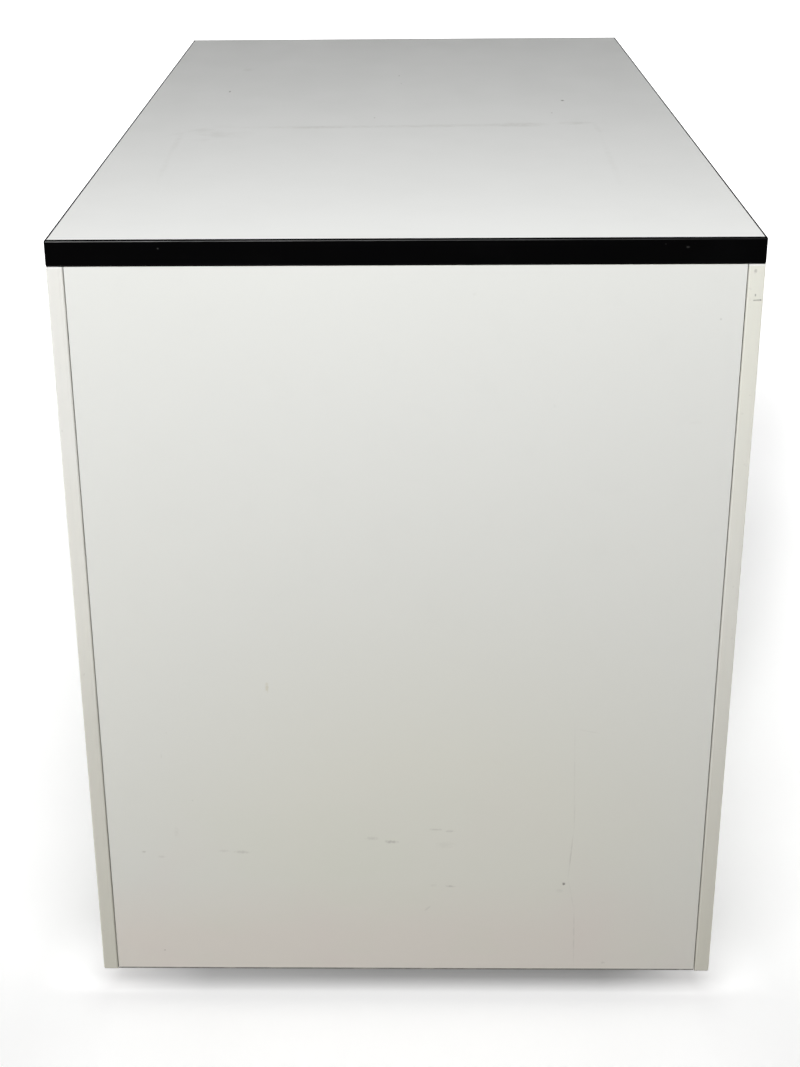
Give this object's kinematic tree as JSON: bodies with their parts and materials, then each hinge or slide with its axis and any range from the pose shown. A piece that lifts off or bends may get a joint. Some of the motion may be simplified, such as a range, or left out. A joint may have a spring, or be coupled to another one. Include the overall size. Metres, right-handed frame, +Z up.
{
  "type": "mobile pedestal",
  "caption": "White office pedestal on hidden casters: black-edged top, plain back, lockable drawers on full-pull slides with pen tray and file rails.",
  "frame": {"origin": "on the floor, under the middle of the top", "axes": "+Z up, +Y to the plain back panel (drawers open towards -Y), +X to the right side seen from the drawer fronts"},
  "size_m": [0.42, 0.8, 0.543],
  "materials": {
    "white_melamine": "white melamine faced board, satin",
    "white_top": "white laminate, satin",
    "white_edge": "white edge band, aged towards yellow",
    "black_edge": "black edge band, satin",
    "drawer_steel": "light grey powder coat",
    "rail_steel": "zinc plated",
    "screw_steel": "zinc plated",
    "cam_zinc": "die-cast zinc",
    "lock_chrome": "polished",
    "grip_plastic": "black, fine grain",
    "tray_plastic": "black, fine grain",
    "fork_nylon": "black nylon, satin",
    "wheel_nylon": "dark grey nylon, satin"
  },
  "bodies": {
    "cabinet": {"side_panel_left": "white_melamine", "side_panel_right": "white_melamine", "bottom_panel": "white_melamine", "back_panel": "white_melamine", "top_panel": "white_top", "top_edge_bands_front_rear": "black_edge", "top_edge_bands_side": "black_edge", "rear_edge_bands": "white_edge", "front_edge_bands": "white_edge", "lock_rail": "white_melamine", "connector_cams": "cam_zinc", "connector_bolts": "screw_steel", "slide_outer_rails": "rail_steel", "slide_screws": "screw_steel", "lock_housing": "lock_chrome", "caster_plates": "rail_steel", "caster_kingpins": "screw_steel", "caster_screws": "screw_steel"},
    "pencil_drawer": {"pencil_drawer_front": "white_melamine", "pencil_drawer_grip": "grip_plastic", "pencil_drawer_shell": "drawer_steel", "pencil_drawer_ends": "drawer_steel", "pencil_drawer_catch": "cam_zinc", "pencil_front_screws": "screw_steel", "pencil_slide_inner_rails": "rail_steel", "pen_tray": "tray_plastic"},
    "pencil_slide_middle": {"pencil_slide_middle_rails": "rail_steel"},
    "middle_drawer": {"middle_drawer_front": "white_melamine", "middle_drawer_grip": "grip_plastic", "middle_drawer_shell": "drawer_steel", "middle_drawer_ends": "drawer_steel", "middle_drawer_catch": "cam_zinc", "middle_front_screws": "screw_steel", "middle_slide_inner_rails": "rail_steel"},
    "middle_slide_middle": {"middle_slide_middle_rails": "rail_steel"},
    "file_drawer": {"file_drawer_front": "white_melamine", "file_drawer_grip": "grip_plastic", "file_drawer_shell": "drawer_steel", "file_drawer_ends": "drawer_steel", "file_drawer_catch": "cam_zinc", "file_front_screws": "screw_steel", "file_slide_inner_rails": "rail_steel", "file_rails": "drawer_steel"},
    "file_slide_middle": {"file_slide_middle_rails": "rail_steel"},
    "lock_cylinder": {"lock_plug": "lock_chrome", "lock_cam": "cam_zinc"},
    "lock_bar": {"lock_bar": "rail_steel", "lock_pins": "screw_steel"},
    "caster_swivel_front_left": {"caster_fork_front_left": "fork_nylon", "caster_axle_front_left": "screw_steel"},
    "caster_wheel_pair_front_left": {"caster_wheels_front_left": "wheel_nylon"},
    "caster_swivel_front_right": {"caster_fork_front_right": "fork_nylon", "caster_axle_front_right": "screw_steel"},
    "caster_wheel_pair_front_right": {"caster_wheels_front_right": "wheel_nylon"},
    "caster_swivel_rear_left": {"caster_fork_rear_left": "fork_nylon", "caster_axle_rear_left": "screw_steel"},
    "caster_wheel_pair_rear_left": {"caster_wheels_rear_left": "wheel_nylon"},
    "caster_swivel_rear_right": {"caster_fork_rear_right": "fork_nylon", "caster_axle_rear_right": "screw_steel"},
    "caster_wheel_pair_rear_right": {"caster_wheels_rear_right": "wheel_nylon"}
  },
  "joints": [
    {"name": "pencil_drawer_slide", "type": "slide", "parent": "cabinet", "child": "pencil_drawer", "axis": [0, -1, 0], "range_m": [0, 0.68]},
    {"name": "pencil_rail_slide", "type": "slide", "parent": "cabinet", "child": "pencil_slide_middle", "axis": [0, -1, 0], "range_m": [0, 0.34]},
    {"name": "middle_drawer_slide", "type": "slide", "parent": "cabinet", "child": "middle_drawer", "axis": [0, -1, 0], "range_m": [0, 0.68]},
    {"name": "middle_rail_slide", "type": "slide", "parent": "cabinet", "child": "middle_slide_middle", "axis": [0, -1, 0], "range_m": [0, 0.34]},
    {"name": "file_drawer_slide", "type": "slide", "parent": "cabinet", "child": "file_drawer", "axis": [0, -1, 0], "range_m": [0, 0.68]},
    {"name": "file_rail_slide", "type": "slide", "parent": "cabinet", "child": "file_slide_middle", "axis": [0, -1, 0], "range_m": [0, 0.34]},
    {"name": "lock_bar_slide", "type": "slide", "parent": "cabinet", "child": "lock_bar", "axis": [0, 0, -1], "range_m": [0, 0.00848]},
    {"name": "lock_turn", "type": "hinge", "parent": "cabinet", "child": "lock_cylinder", "pos_m": [0.17, -0.389, 0.507], "axis": [0, 1, 0], "range_deg": [0, 90]},
    {"name": "caster_swivel_front_left", "type": "hinge", "parent": "cabinet", "child": "caster_swivel_front_left", "pos_m": [-0.145, -0.33, 0.04], "axis": [0, 0, 1], "continuous": true},
    {"name": "caster_roll_front_left", "type": "hinge", "parent": "caster_swivel_front_left", "child": "caster_wheel_pair_front_left", "pos_m": [-0.15532, -0.31526, 0.02], "axis": [0.8192, 0.5736, 0], "continuous": true},
    {"name": "caster_swivel_front_right", "type": "hinge", "parent": "cabinet", "child": "caster_swivel_front_right", "pos_m": [0.145, -0.33, 0.04], "axis": [0, 0, 1], "continuous": true},
    {"name": "caster_roll_front_right", "type": "hinge", "parent": "caster_swivel_front_right", "child": "caster_wheel_pair_front_right", "pos_m": [0.16059, -0.321, 0.02], "axis": [0.5, -0.866, 0], "continuous": true},
    {"name": "caster_swivel_rear_left", "type": "hinge", "parent": "cabinet", "child": "caster_swivel_rear_left", "pos_m": [-0.145, 0.33, 0.04], "axis": [0, 0, 1], "continuous": true},
    {"name": "caster_roll_rear_left", "type": "hinge", "parent": "caster_swivel_rear_left", "child": "caster_wheel_pair_rear_left", "pos_m": [-0.16273, 0.33313, 0.02], "axis": [0.1736, 0.9848, 0], "continuous": true},
    {"name": "caster_swivel_rear_right", "type": "hinge", "parent": "cabinet", "child": "caster_swivel_rear_right", "pos_m": [0.145, 0.33, 0.04], "axis": [0, 0, 1], "continuous": true},
    {"name": "caster_roll_rear_right", "type": "hinge", "parent": "caster_swivel_rear_right", "child": "caster_wheel_pair_rear_right", "pos_m": [0.14966, 0.34739, 0.02], "axis": [0.9659, -0.2588, 0], "continuous": true}
  ],
  "couplings": [
    {"joint": "pencil_rail_slide", "follows": "pencil_drawer_slide", "ratio": 0.5},
    {"joint": "middle_rail_slide", "follows": "middle_drawer_slide", "ratio": 0.5},
    {"joint": "file_rail_slide", "follows": "file_drawer_slide", "ratio": 0.5},
    {"joint": "lock_turn", "follows": "lock_bar_slide", "rad_per_m": 185.12}
  ]
}
